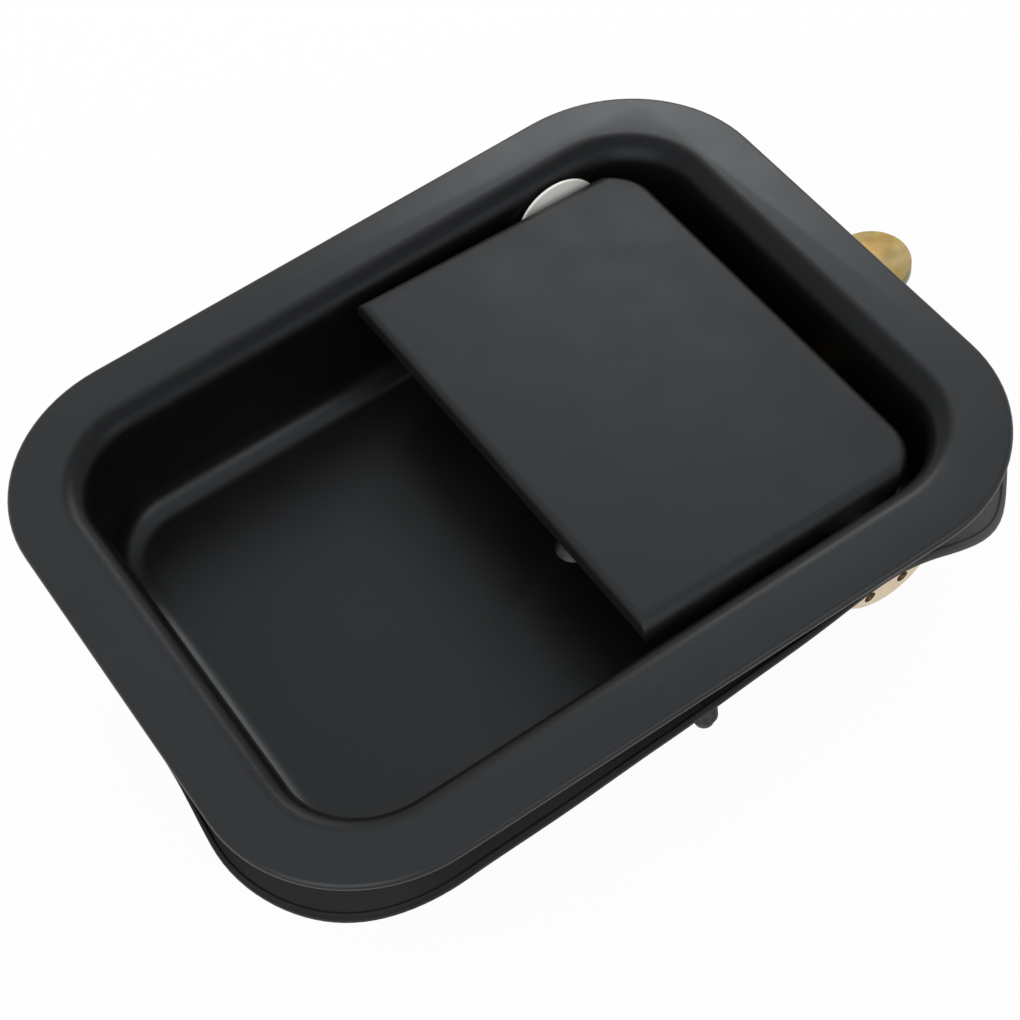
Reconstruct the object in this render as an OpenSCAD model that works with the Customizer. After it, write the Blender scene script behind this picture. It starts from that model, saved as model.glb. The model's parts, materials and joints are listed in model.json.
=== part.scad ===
// Recessed paddle door handle: a drawn steel pan with a finger pocket, a hinged paddle,
// plated ears that carry the hinge, and a plated bracket and release lever on the back.
// Origin: centre of the back face of the flange, the plane that seats on the door skin.
// +X runs along the handle towards the hinge end, +Z points out of the door. Millimetres.

/* [Pan] */
// Length of the flange
flange_len = 127; // [120:0.5:136]
// Width of the flange
flange_wid = 101.4; // [96:0.2:110]
// Corner radius of the flange outline
flange_corner_r = 24; // [22:0.5:27]
// Thickness of the pan sheet
pan_sheet = 1.5; // [1.2:0.1:1.8]
// Distance from the flange edge to the pocket wall
rim_w = 11.6; // [11:0.1:12.6]
// Outside radius of the bend from the flange into the pocket
rim_bend_r = 4; // [3:0.25:4.5]
// Depth of the pocket below the face of the flange
pocket_depth = 21.2; // [20:0.2:24]
// Inside radius between the pocket wall and the floor
floor_bend_r = 4; // [3:0.25:5]

/* [Hinge] */
// Distance of the hinge axis from the pocket wall at the hinge end
axis_inset = 16.8; // [15.8:0.2:19]
// Depth of the hinge axis below the face of the flange
axis_drop = 8.7; // [8.2:0.1:9.4]
// Radius of the pivot pin
pin_r = 2; // [1.8:0.1:2.2]
// Radius of the head of the pivot pin
pin_head_r = 3.4; // [3:0.1:3.8]
// Thickness of the head of the pivot pin
pin_head_t = 1.8; // [1.2:0.1:2.4]
// Wall of the pivot bush around the pin
bush_wall = 1.2; // [1:0.1:1.3]
// Radius of the flange of the pivot bush
bush_flange_r = 4.3; // [4:0.1:4.8]
// Thickness of the flange of the pivot bush
bush_flange_t = 0.6; // [0.5:0.05:0.7]
// Radius of the thrust washer between the paddle and the far bush
thrust_r = 7.4; // [6:0.1:7.8]
// Thickness of the thrust washer
thrust_t = 0.5; // [0.4:0.05:0.6]
// Radius of the spring clip on the end of the pin
clip_r = 4.4; // [4:0.1:5]
// Thickness of the spring clip
clip_t = 0.8; // [0.6:0.1:1]
// Thickness of the washer under the spring clip
pin_washer_t = 0.6; // [0.5:0.1:1]

/* [Paddle] */
// Reach of the paddle from the hinge axis to its free edge
paddle_reach = 36.9; // [33:0.1:38]
// Length of the paddle from the hinge axis to its hinge-end edge
paddle_tail = 11.9; // [11:0.1:12.5]
// Height of the paddle face above the hinge axis
paddle_rise = 6.35; // [6.2:0.05:6.8]
// Slope of the paddle face down towards the hinge end, in degrees
paddle_tilt = 3; // [2:0.25:4]
// Gap between the paddle and the pocket wall on each side
paddle_side_gap = 1.6; // [1.5:0.1:2.4]
// Thickness of the paddle sheet
paddle_sheet = 1.2; // [1:0.1:1.4]
// Outside radius of the bends along the paddle sides
paddle_bend_r = 2.75; // [2.25:0.25:5]
// Outside radius of the bend at the hinge end and round its corners
paddle_tail_bend_r = 1.4; // [1:0.1:2]
// Outside radius of the rolled free edge
paddle_roll_r = 1.4; // [1:0.1:2]
// Depth of the lip along the free edge
paddle_lip = 2.8; // [2.4:0.1:4]
// Depth of the flange turned down at the hinge end
paddle_tail_depth = 6; // [5:0.25:7]
// Plan radius of the corners at the hinge end
paddle_corner_r = 8; // [6:0.25:8.5]
// Width of the reliefs that part the flanges at the corners
paddle_relief_w = 5.8; // [5:0.1:6]
// Depth of the corners above the reliefs
paddle_relief_drop = 3.2; // [2.6:0.1:4]
// Radius of the paddle's ears around the pivot holes
paddle_ear_r = 6; // [5:0.25:6.5]

/* [Drive arm] */
// Thickness of the drive arm
arm_t = 2; // [1.5:0.1:2.5]
// Width of the drive arm
arm_w = 8; // [6:0.5:9]
// Distance of the arm's pushing face past the hinge axis
arm_offset = 4.3; // [4.2:0.1:4.6]
// Distance of the middle of the arm from the near side of the paddle
arm_inset = 13.5; // [12.5:0.25:14.5]
// Length of the foot welded under the paddle
arm_foot = 14; // [10:0.5:18]
// Outside radius of the bend between the foot and the blade
arm_bend_r = 3.2; // [2.8:0.1:4]
// Distance the blade reaches past the lever
arm_overrun = 1.6; // [1.2:0.1:2.4]

/* [Pivot ears and bracket] */
// Thickness of the pivot ears
ear_t = 1.6; // [1.2:0.1:2]
// Radius of the round lower end of a pivot ear
ear_r = 8.9; // [8.5:0.1:9.3]
// Depth of the middle of the round end below the hinge axis
ear_hang = 3.6; // [3:0.1:4]
// Radius of the two small holes near the lower end of an ear
ear_hole_r = 0.9; // [0.6:0.1:1.1]
// Thickness of the bracket plate under the floor
bracket_t = 1.6; // [1.2:0.1:2]
// Width of the bracket across the handle
web_wid = 68; // [64:0.5:72]
// Distance the bracket reaches past the hinge axis towards the hinge end
web_tail = 15; // [14:0.5:17]
// Distance the bracket reaches from the hinge axis under the pocket
web_front = 35; // [32:0.5:38]
// Corner radius of the bracket
web_corner_r = 6; // [4:0.5:8]
// Radius of a bracket rivet
rivet_r = 2; // [1.6:0.1:2.4]
// Radius of a bracket rivet's heads
rivet_head_r = 3; // [2.6:0.1:3.1]
// Height of a bracket rivet's heads
rivet_head_h = 1.2; // [0.9:0.1:1.5]

/* [Release lever] */
// Thickness of the lever
lever_t = 2; // [1.6:0.1:2.4]
// Distance of the lever pivot past the hinge axis
lever_pivot_dx = 7.9; // [7.5:0.1:8.2]
// Position of the lever pivot across the handle
lever_pivot_y = -1; // [-2:0.25:1]
// Reach of the centre of the round tip past the flange edge
lever_reach = 12.4; // [10:0.1:16]
// Position of the round tip across the handle
lever_tip_y = 11.6; // [8:0.1:13]
// Radius of the round tip
lever_tip_r = 6.5; // [6:0.1:7.5]
// Radius of the boss around the lever pivot
lever_boss_r = 8; // [7.4:0.1:8.6]
// Radius of the nose that the drive arm pushes
lever_nose_r = 4; // [3.5:0.1:4.4]
// Gap between the nose and the drive arm at rest
lever_nose_gap = 0.5; // [0.4:0.05:0.8]
// Radius of the hole for the latch rod
rod_hole_r = 2.6; // [2:0.1:3]
// Distance from the end of the tip to the centre of the rod hole
rod_hole_inset = 9; // [8.5:0.25:12]
// Radius of the shoulder of the lever rivet
lever_shoulder_r = 3; // [2.6:0.1:3.2]
// Wall of the lever bush
lever_bush_wall = 1.1; // [0.9:0.1:1.4]
// Thickness of the flange of the lever bush
lever_bush_flange_t = 0.5; // [0.4:0.05:0.8]
// Radius of the lever washer and of the head below the spring
lever_washer_r = 6.4; // [6:0.1:7]
// Thickness of the lever washer
lever_washer_t = 0.8; // [0.6:0.1:1]

/* [Springs] */
// Wire radius of the paddle spring
paddle_wire_r = 0.6; // [0.5:0.05:0.65]
// Number of turns of the paddle spring
paddle_turns = 7; // [5:1:9]
// Position of the paddle spring across the handle, at its near end
paddle_spring_y = 4; // [2:0.5:10]
// Thickness of the end flanges of the spool inside the paddle spring
spool_flange_t = 1; // [0.8:0.1:1.4]
// Wire radius of the lever spring
lever_wire_r = 0.5; // [0.4:0.05:0.6]
// Number of turns of the lever spring
lever_turns = 3; // [2:1:4]

/* [Studs, gasket and bumper] */
// Radius of the mounting studs
stud_r = 2; // [1.8:0.1:2.3]
// Length of the mounting studs below the flange
stud_len = 13.8; // [12:0.2:20]
// Distance of the studs from the middle of the handle along its length
stud_x = 1; // [0:0.5:8]
// Distance of the studs from the flange edge
stud_inset = 4.7; // [4.5:0.1:4.9]
// Thickness of the gasket web
gasket_t = 0.8; // [0.6:0.1:1]
// Height of the lip above the gasket web
gasket_lip_h = 1.4; // [1:0.1:1.5]
// Width of the gasket lip
gasket_lip_w = 1.3; // [1:0.1:1.6]
// Width of the gasket inside the flange edge
gasket_w = 6.4; // [6:0.1:6.6]
// Distance of the gasket's outer edge inside the flange edge
gasket_back = 0.3; // [0:0.1:0.6]
// How far the loose gasket hangs away at the near corner of the pocket end
gasket_sag = 6.9; // [0:0.1:8]
// Length of the rubber bumper behind the drive arm
bumper_len = 2.4; // [2:0.1:3]

/* [Hidden] */
$fn = 64;

// Clearances: running fit on a radius, seated gap, and overlap used only by cutters
run_gap = 0.05;
seat_gap = 0.2;
eps = 1;
// Share of a round end's radius that straight flanks take, so that they cross it cleanly
flank = 0.998;

black = [0.07, 0.07, 0.075];
rubber = [0.04, 0.04, 0.042];
gold = [0.66, 0.58, 0.27];
nylon = [0.92, 0.92, 0.89];
steel = [0.55, 0.55, 0.57];
oxide = [0.2, 0.19, 0.18];

// Pan: every radius in the profile is measured from the centre of a corner
corner_x = flange_len / 2 - flange_corner_r;
corner_y = flange_wid / 2 - flange_corner_r;
wall_r = flange_corner_r - rim_w;
wall_x = corner_x + wall_r;
wall_y = corner_y + wall_r;
edge_r = pan_sheet / 2;
rim_bend_x = wall_r + rim_bend_r;
rim_bend_z = pan_sheet - rim_bend_r;
floor_top = pan_sheet - pocket_depth;
floor_bottom = floor_top - pan_sheet;
floor_bend_x = wall_r - floor_bend_r;
floor_bend_z = floor_top + floor_bend_r;

// Hinge
axis_x = wall_x - axis_inset;
axis_z = pan_sheet - axis_drop;
bush_r = pin_r + run_gap + bush_wall;
ear_in = wall_y + pan_sheet;
ear_out = ear_in + ear_t;
bush_end = ear_out + seat_gap;
thrust_y = wall_y - bush_flange_t - run_gap - thrust_t;
pin_stop = bush_end + seat_gap;
pin_groove_depth = 0.5;
pin_groove_r = pin_r - pin_groove_depth;
pin_washer_r = clip_r - seat_gap;
clip_y = pin_stop + pin_washer_t + run_gap;
pin_tail = 1.3;
pin_end = clip_y + clip_t + pin_tail;

// Paddle
paddle_half = wall_y - paddle_side_gap;
paddle_under = paddle_rise - paddle_sheet;
arm_y = arm_inset - paddle_half;
skirt_low = 40;
ear_cos = paddle_ear_r * cos(45);

// Pivot ears: the round end lies a little nearer the hinge end than the axis
ear_top = rim_bend_z - seat_gap;
ear_shift = 0.6;
ear_x = axis_x + ear_shift;
ear_z = axis_z - ear_hang;
ear_hole_dx = 2.9;
ear_hole_inset = 2.4;
ear_hole_z = ear_z - ear_r + ear_hole_inset;

// Bracket: the rear rivets stand beside the slot that the drive arm swings in
slot_side = 1.5;
slot_r = 1.5;
web_bottom = floor_bottom - bracket_t;
web_x0 = axis_x - web_front;
web_x1 = axis_x + web_tail;
rivet_front_inset = 5.5;
rivet_front_y = -7.1;
rivet_rear_inset = 5.5;
rivet_slot_gap = 3.9;
rivet_rear_y = -arm_y - arm_w / 2 - slot_side - rivet_slot_gap;
rivet_spots = [[web_x0 + rivet_front_inset, rivet_front_y],
    [web_x1 - rivet_rear_inset, -rivet_rear_y], [web_x1 - rivet_rear_inset, rivet_rear_y]];

// Lever: the plate lies below the web, on the flange of its bush
lever_top = web_bottom - lever_bush_flange_t;
lever_bottom = lever_top - lever_t;
lever_pivot = [axis_x + lever_pivot_dx, lever_pivot_y];
lever_tip = [flange_len / 2 + lever_reach, lever_tip_y];
lever_dir = (lever_tip - lever_pivot) / norm(lever_tip - lever_pivot);
rod_hole = lever_tip + lever_dir * (lever_tip_r - rod_hole_inset);
arm_low = lever_bottom - arm_overrun - axis_z;
arm_face_x = axis_x + arm_offset * cos(paddle_tilt) + (lever_bottom - axis_z) * sin(paddle_tilt);
lever_nose = [arm_face_x - lever_nose_gap - lever_nose_r, arm_y];
lever_knee_rise = 12;
lever_knee_bulge = 0.4;
lever_knee_r = lever_nose_r + lever_knee_bulge;
lever_knee = [lever_nose[0] - lever_knee_bulge, arm_y + lever_knee_rise];
lever_ends = [[lever_pivot, lever_boss_r], [lever_tip, lever_tip_r],
    [lever_knee, lever_knee_r], [lever_nose, lever_nose_r]];
lever_links = [[0, 1], [0, 2], [2, 3]];
lever_bush_r = lever_shoulder_r + run_gap + lever_bush_wall;
lever_bush_rim = 2.85;
lever_bush_flange_r = lever_bush_r + lever_bush_rim;
washer_gap = 0.1;
washer_top = lever_bottom - washer_gap;
washer_bottom = washer_top - lever_washer_t;
lever_coil_gap = 0.9;
lever_turn_gap = 0.15;
lever_coil_r = lever_shoulder_r + lever_coil_gap + lever_wire_r;
lever_coil_top = washer_bottom - lever_turn_gap - lever_wire_r;
lever_pitch = 2 * lever_wire_r + lever_turn_gap;
lever_coil_low = lever_coil_top - lever_turns * lever_pitch;
lever_head_top = lever_coil_low - lever_wire_r - seat_gap;
lever_head_h = 1.4;
lever_rivet_rim = 1.4;
lever_rivet_head_r = lever_shoulder_r + lever_rivet_rim;

// Slot that the drive arm swings in, worked out at the end of the paddle's travel
paddle_travel = 30;
swing = paddle_travel + paddle_tilt;
slot_depth = web_bottom - axis_z;
slot_front_gap = 1;
slot_front_x = axis_x + (arm_offset + slot_depth * sin(swing)) / cos(swing) - slot_front_gap;
arm_back_x = axis_x + (arm_offset + arm_t) * cos(paddle_tilt) + (floor_top - axis_z) * sin(paddle_tilt);
bumper_gap = 0.25;
bumper_lip = 2;
slot_back_x = arm_back_x + bumper_gap + bumper_len;

// Springs: the paddle spring winds round a spool on the pin
spool_wall = 0.5;
spool_r = pin_r + run_gap + spool_wall;
paddle_coil_gap = 0.15;
paddle_turn_gap = 0.35;
paddle_coil_r = spool_r + paddle_coil_gap + paddle_wire_r;
paddle_pitch = 2 * paddle_wire_r + paddle_turn_gap;
paddle_coil_len = paddle_turns * paddle_pitch;
paddle_leg = 18;
paddle_leg_gap = 0.1;
spool_rim = 0.3;
spool_flange_r = paddle_coil_r + paddle_wire_r + spool_rim;
spool_end_gap = 0.3;
lever_anchor_dx = -4;
lever_anchor_dy = 15;
lever_anchor = lever_pivot + [lever_anchor_dx, lever_anchor_dy];
lever_anchor_gap = 0.3;
lever_anchor_r = lever_wire_r + lever_anchor_gap;
lever_push_out = 15;
lever_hook_r = 1.4;
lever_hook_steps = 5;
coil_steps = 16;

// Studs
stud_y = flange_wid / 2 - stud_inset;
stud_base_w = 0.6;
stud_base_r = stud_r + stud_base_w;
stud_base_t = 1.2;
stud_dog_step = 0.6;
stud_dog_r = stud_r - stud_dog_step;
stud_dog_len = 1.8;
stud_hole_gap = 0.65;

// Gasket: its lip hangs a seated gap below the flange where it isn't pulled away
gasket_lip_top = -seat_gap;
gasket_top = gasket_lip_top - gasket_lip_h;
gasket_bottom = gasket_top - gasket_t;
gasket_round = 0.3;
gasket_arc_steps = 10;
gasket_long_steps = 14;
gasket_short_steps = 9;

// Rounded rectangle about the origin
module rounded_rect(len, wid, r) {
    square([len - 2 * r, wid], center = true);
    square([len, wid - 2 * r], center = true);
    for (x = [-1, 1], y = [-1, 1])
        translate([x * (len / 2 - r), y * (wid / 2 - r)]) circle(r = r);
}

// Quarter of a bent sheet's ring, in the quadrant with the given signs
module bend(outer, inner, sx, sy) {
    intersection() {
        difference() {
            circle(r = outer);
            circle(r = inner);
        }
        translate([sx > 0 ? 0 : -outer, sy > 0 ? 0 : -outer]) square(outer);
    }
}

// Cylinder on the hinge axis between two positions across the handle
module hinge_cylinder(r, y0, y1) {
    translate([axis_x, y0, axis_z]) rotate([-90, 0, 0]) cylinder(r = r, h = y1 - y0);
}

// Puts a shape drawn about the hinge axis, with a level paddle face, into its rest place
module in_paddle_place() {
    translate([axis_x, 0, axis_z]) rotate([0, paddle_tilt, 0]) children();
}

// Section in X and Z, drawn out across the handle about the middle
module across(wid) {
    rotate([90, 0, 0]) linear_extrude(wid, center = true) children();
}

// Straight flanks of a plate that tapers from one round end to another
module link_web(a, ra, b, rb, t) {
    span = norm(b - a);
    dir = atan2(b[1] - a[1], b[0] - a[0]);
    lean = acos((ra - rb) / span);
    left = flank * [cos(dir + lean), sin(dir + lean)];
    right = flank * [cos(dir - lean), sin(dir - lean)];
    linear_extrude(t) polygon([a, a + ra * left, b + rb * left, b, b + rb * right, a + ra * right]);
}

// Wire swept along a path, with a side direction carried from ring to ring without twist
function unit(v) = v / norm(v);
function path_dir(path, i) =
    unit(path[min(i + 1, len(path) - 1)] - path[max(i - 1, 0)]);
function square_to(n, t) = unit(n - (n * t) * t);
module wire(path, r, sides = 8) {
    rings = len(path);
    dirs = [for (i = [0 : rings - 1]) path_dir(path, i)];
    sideways = [for (i = 0, n = square_to([1, 1, 1], dirs[0]); i < rings;
        i = i + 1, n = square_to(n, dirs[min(i, rings - 1)])) n];
    points = [for (i = [0 : rings - 1], k = [0 : sides - 1])
        let (n = sideways[i], b = cross(dirs[i], n), a = 360 * k / sides)
            path[i] + r * (cos(a) * n + sin(a) * b)];
    sleeve = [for (i = [0 : rings - 2], k = [0 : sides - 1])
        let (k2 = (k + 1) % sides)
            [i * sides + k, i * sides + k2, (i + 1) * sides + k2, (i + 1) * sides + k]];
    first = [[for (k = [0 : sides - 1]) sides - 1 - k]];
    last = [[for (k = [0 : sides - 1]) (rings - 1) * sides + k]];
    polyhedron(points = points, faces = concat(sleeve, first, last), convexity = 8);
}

// Bent section of the pan from a corner's centre out to the flange edge
module pan_profile() {
    translate([rim_bend_x, 0]) square([flange_corner_r - edge_r - rim_bend_x, pan_sheet]);
    translate([flange_corner_r - edge_r, edge_r]) circle(r = edge_r);
    translate([rim_bend_x, rim_bend_z]) bend(rim_bend_r, rim_bend_r - pan_sheet, -1, 1);
    translate([wall_r, floor_bend_z]) square([pan_sheet, rim_bend_z - floor_bend_z]);
    translate([floor_bend_x, floor_bend_z]) bend(floor_bend_r + pan_sheet, floor_bend_r, 1, -1);
    translate([0, floor_bottom]) square([floor_bend_x, pan_sheet]);
}

module pan_side(x, len) {
    translate([x, len / 2, 0]) rotate([90, 0, 0]) linear_extrude(len) pan_profile();
}

module pan_shell() {
    for (turn = [0, 180]) {
        rotate(turn) pan_side(corner_x, 2 * corner_y);
        rotate(turn + 90) pan_side(corner_y, 2 * corner_x);
        rotate(turn) translate([corner_x, corner_y, 0]) rotate_extrude(angle = 90) pan_profile();
        rotate(turn) translate([corner_x, -corner_y, 0]) rotate(-90)
            rotate_extrude(angle = 90) pan_profile();
    }
    translate([-corner_x, -corner_y, floor_bottom]) cube([2 * corner_x, 2 * corner_y, pan_sheet]);
}

// Outline of the slot that lets the drive arm through the floor and the web
module arm_slot() {
    translate([(slot_front_x + slot_back_x) / 2, arm_y])
        rounded_rect(slot_back_x - slot_front_x, arm_w + 2 * slot_side, slot_r);
}

module at_rivets() {
    for (spot = rivet_spots) translate(spot) children();
}

module pan_housing() {
    color(black) difference() {
        pan_shell();
        hinge_cylinder(bush_r + run_gap, -ear_out, ear_out);
        translate([0, 0, floor_bottom - eps]) linear_extrude(pan_sheet + 2 * eps) {
            arm_slot();
            at_rivets() circle(r = rivet_r);
            translate(lever_pivot) circle(r = lever_shoulder_r);
        }
    }
}

// Solid below a paddle skin that bends down along both sides
module paddle_sides(inset) {
    half = paddle_half - inset;
    top = paddle_rise - inset;
    r = paddle_bend_r - inset;
    rotate([90, 0, 90]) linear_extrude(2 * (paddle_reach + paddle_tail), center = true) {
        translate([-half, -skirt_low]) square([2 * half, skirt_low + top - r]);
        translate([r - half, -skirt_low]) square([2 * (half - r), skirt_low + top]);
        for (side = [-1, 1]) translate([side * (half - r), top - r]) circle(r = r);
    }
}

// Section of the hinge end, from the centre of a corner out to the tightly bent edge
module paddle_tail_section() {
    r = paddle_tail_bend_r;
    translate([0, -skirt_low]) square([paddle_corner_r, skirt_low + paddle_rise - r]);
    translate([0, -skirt_low]) square([paddle_corner_r - r, skirt_low + paddle_rise]);
    translate([paddle_corner_r - r, paddle_rise - r]) circle(r = r);
}

// Solid with the paddle's plan: a rolled free edge, and round corners at the hinge end
module paddle_body() {
    bend_x = paddle_tail - paddle_corner_r;
    bend_y = paddle_half - paddle_corner_r;
    r = paddle_roll_r;
    across(2 * paddle_half) {
        translate([-paddle_reach, -skirt_low])
            square([paddle_reach + bend_x, skirt_low + paddle_rise - r]);
        translate([r - paddle_reach, -skirt_low])
            square([paddle_reach - r + bend_x, skirt_low + paddle_rise]);
        translate([r - paddle_reach, paddle_rise - r]) circle(r = r);
    }
    translate([bend_x, 0, 0]) across(2 * bend_y) paddle_tail_section();
    translate([bend_x, bend_y, 0]) rotate_extrude(angle = 90) paddle_tail_section();
    translate([bend_x, -bend_y, 0]) rotate(-90) rotate_extrude(angle = 90) paddle_tail_section();
}

// Hollow under the paddle skin
module paddle_hollow() {
    half = paddle_half - paddle_sheet;
    front = paddle_sheet - paddle_reach;
    back = paddle_tail - paddle_sheet;
    r = paddle_corner_r - paddle_sheet;
    intersection() {
        paddle_sides(paddle_sheet);
        translate([0, 0, -skirt_low]) linear_extrude(2 * skirt_low) {
            translate([front, -half]) square([back - r - front, 2 * half]);
            translate([back - r, r - half]) square([r, 2 * (half - r)]);
            for (side = [-1, 1]) translate([back - r, side * (half - r)]) circle(r = r);
        }
    }
}

// Lower edge of the paddle's turned-down flanges, dropping to an ear at the pivot
module paddle_skirt() {
    across(2 * paddle_half + 2 * eps) {
        circle(r = paddle_ear_r);
        polygon([[-paddle_reach - eps, paddle_rise + eps], [-paddle_reach - eps, paddle_rise - paddle_lip],
            [-ear_cos, -ear_cos], [ear_cos, -ear_cos],
            [paddle_tail + eps, paddle_rise - paddle_tail_depth], [paddle_tail + eps, paddle_rise + eps]]);
    }
}

// Bend reliefs that part the side flanges from the flange at the hinge end
module paddle_reliefs() {
    low = paddle_rise - paddle_relief_drop;
    for (side = [-1, 1])
        translate([paddle_tail - paddle_relief_w, side * paddle_half - paddle_corner_r, low - skirt_low])
            cube([paddle_relief_w + eps, 2 * paddle_corner_r, skirt_low]);
}

module paddle() {
    color(black) difference() {
        in_paddle_place() difference() {
            intersection() {
                difference() {
                    intersection() {
                        paddle_body();
                        paddle_sides(0);
                    }
                    paddle_hollow();
                }
                paddle_skirt();
            }
            paddle_reliefs();
        }
        hinge_cylinder(pin_r + run_gap / 2, -wall_y, wall_y);
    }
}

module paddle_arm() {
    blade_x = arm_offset + arm_t - arm_bend_r;
    bend_z = paddle_under - arm_bend_r;
    color(black) in_paddle_place() translate([0, arm_y, 0]) across(arm_w) {
        translate([blade_x - arm_foot, paddle_under - arm_t]) square([arm_foot, arm_t]);
        translate([blade_x, bend_z]) bend(arm_bend_r, arm_bend_r - arm_t, 1, 1);
        translate([arm_offset, arm_low]) square([arm_t, bend_z - arm_low]);
    }
}

// Each length starts inside the one before it, so that the pin stays one piece at any size
module pivot_pin() {
    color(steel) {
        hinge_cylinder(pin_head_r, -pin_stop - pin_head_t, -pin_stop);
        hinge_cylinder(pin_r, -pin_stop - pin_head_t / 2, clip_y);
        hinge_cylinder(pin_groove_r, 0, pin_end - pin_tail / 2);
        hinge_cylinder(pin_r, clip_y + clip_t, pin_end);
    }
}

module pin_clip() {
    mouth = 1.5 * pin_groove_r;
    color(steel) difference() {
        hinge_cylinder(clip_r, clip_y, clip_y + clip_t);
        hinge_cylinder(pin_groove_r + run_gap, clip_y - eps, clip_y + clip_t + eps);
        translate([axis_x - mouth / 2, clip_y - eps, axis_z - clip_r - eps])
            cube([mouth, clip_t + 2 * eps, clip_r + eps]);
    }
}

module pin_washer() {
    color(steel) difference() {
        hinge_cylinder(pin_washer_r, pin_stop, pin_stop + pin_washer_t);
        hinge_cylinder(pin_r + run_gap, pin_stop - eps, pin_stop + pin_washer_t + eps);
    }
}

// Flanged sleeve on the pin that keeps the turns of the paddle spring in line
module spring_spool() {
    near = paddle_spring_y - paddle_wire_r - spool_end_gap;
    far = paddle_spring_y + paddle_coil_len + paddle_wire_r + spool_end_gap;
    color(nylon) difference() {
        union() {
            hinge_cylinder(spool_r, near - spool_flange_t / 2, far + spool_flange_t / 2);
            hinge_cylinder(spool_flange_r, near - spool_flange_t, near);
            hinge_cylinder(spool_flange_r, far, far + spool_flange_t);
        }
        hinge_cylinder(pin_r + run_gap, near - spool_flange_t - eps, far + spool_flange_t + eps);
    }
}

module pivot_bush(side) {
    color(nylon) mirror([0, side > 0 ? 0 : 1, 0]) difference() {
        union() {
            hinge_cylinder(bush_flange_r, wall_y - bush_flange_t, wall_y);
            hinge_cylinder(bush_r, wall_y - bush_flange_t, bush_end);
        }
        hinge_cylinder(pin_r + run_gap, wall_y - bush_flange_t - eps, bush_end + eps);
    }
}

module pivot_bush_near() {
    pivot_bush(-1);
}

module pivot_bush_far() {
    pivot_bush(1);
}

module thrust_washer() {
    color(nylon) difference() {
        hinge_cylinder(thrust_r, thrust_y, thrust_y + thrust_t);
        hinge_cylinder(pin_r + run_gap, thrust_y - eps, thrust_y + thrust_t + eps);
    }
}

// Plate welded to the outside of a pocket wall, with a round lower end
module pivot_ear(side) {
    color(gold) difference() {
        translate([0, side > 0 ? ear_out : -ear_in, 0]) rotate([90, 0, 0]) linear_extrude(ear_t)
            difference() {
                union() {
                    translate([ear_x, ear_z]) circle(r = ear_r);
                    translate([ear_x - flank * ear_r, ear_z]) square([2 * flank * ear_r, ear_top - ear_z]);
                }
                for (dx = [-ear_hole_dx, ear_hole_dx])
                    translate([ear_x + dx, ear_hole_z]) circle(r = ear_hole_r);
            }
        hinge_cylinder(bush_r + run_gap, -ear_out - eps, ear_out + eps);
    }
}

module pivot_ear_near() {
    pivot_ear(-1);
}

module pivot_ear_far() {
    pivot_ear(1);
}

// Plate riveted under the floor that carries the lever's pivot
module pivot_bracket() {
    color(gold) translate([0, 0, web_bottom]) linear_extrude(bracket_t) difference() {
        translate([(web_x0 + web_x1) / 2, 0]) rounded_rect(web_x1 - web_x0, web_wid, web_corner_r);
        arm_slot();
        at_rivets() circle(r = rivet_r);
        translate(lever_pivot) circle(r = lever_shoulder_r);
        translate(lever_anchor) circle(r = lever_anchor_r);
    }
}

// Low dome with a flat base on Z = 0
module dome(r, h) {
    ball = (r * r + h * h) / (2 * h);
    rotate_extrude() intersection() {
        translate([0, h - ball]) circle(r = ball);
        square([r, h]);
    }
}

module bracket_rivets() {
    color(oxide) at_rivets() {
        translate([0, 0, web_bottom]) cylinder(r = rivet_r, h = floor_top - web_bottom);
        translate([0, 0, floor_top]) dome(rivet_head_r, rivet_head_h);
        translate([0, 0, web_bottom]) mirror([0, 0, 1]) dome(rivet_head_r, rivet_head_h);
    }
}

module release_lever() {
    color(gold) difference() {
        translate([0, 0, lever_bottom]) {
            for (end = lever_ends) translate(end[0]) cylinder(r = end[1], h = lever_t);
            for (link = lever_links) let (a = lever_ends[link[0]], b = lever_ends[link[1]])
                link_web(a[0], a[1], b[0], b[1], lever_t);
        }
        translate([0, 0, lever_bottom - eps]) linear_extrude(lever_t + 2 * eps) {
            translate(lever_pivot) circle(r = lever_bush_r);
            translate(rod_hole) circle(r = rod_hole_r);
        }
    }
}

module lever_bush() {
    color(nylon) translate(lever_pivot) difference() {
        union() {
            translate([0, 0, lever_bottom]) cylinder(r = lever_bush_r, h = lever_t + run_gap);
            translate([0, 0, lever_top]) cylinder(r = lever_bush_flange_r, h = lever_bush_flange_t - run_gap);
        }
        translate([0, 0, lever_bottom - eps])
            cylinder(r = lever_shoulder_r + run_gap, h = lever_t + lever_bush_flange_t + 2 * eps);
    }
}

module lever_rivet() {
    color(gold) translate(lever_pivot) {
        translate([0, 0, floor_top]) dome(lever_rivet_head_r, rivet_head_h);
        translate([0, 0, lever_head_top]) cylinder(r = lever_shoulder_r, h = floor_top - lever_head_top);
        translate([0, 0, lever_head_top]) mirror([0, 0, 1]) dome(lever_washer_r, lever_head_h);
    }
}

module lever_washer() {
    color(steel) translate([lever_pivot[0], lever_pivot[1], washer_bottom]) difference() {
        cylinder(r = lever_washer_r, h = lever_washer_t);
        translate([0, 0, -eps]) cylinder(r = lever_shoulder_r + run_gap, h = lever_washer_t + 2 * eps);
    }
}

// Angle of the point where a straight leg to offset v runs off a coil of radius r
function leg_turn(v, r) = acos(r / norm(v));
function heading(v) = atan2(v[1], v[0]);
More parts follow.
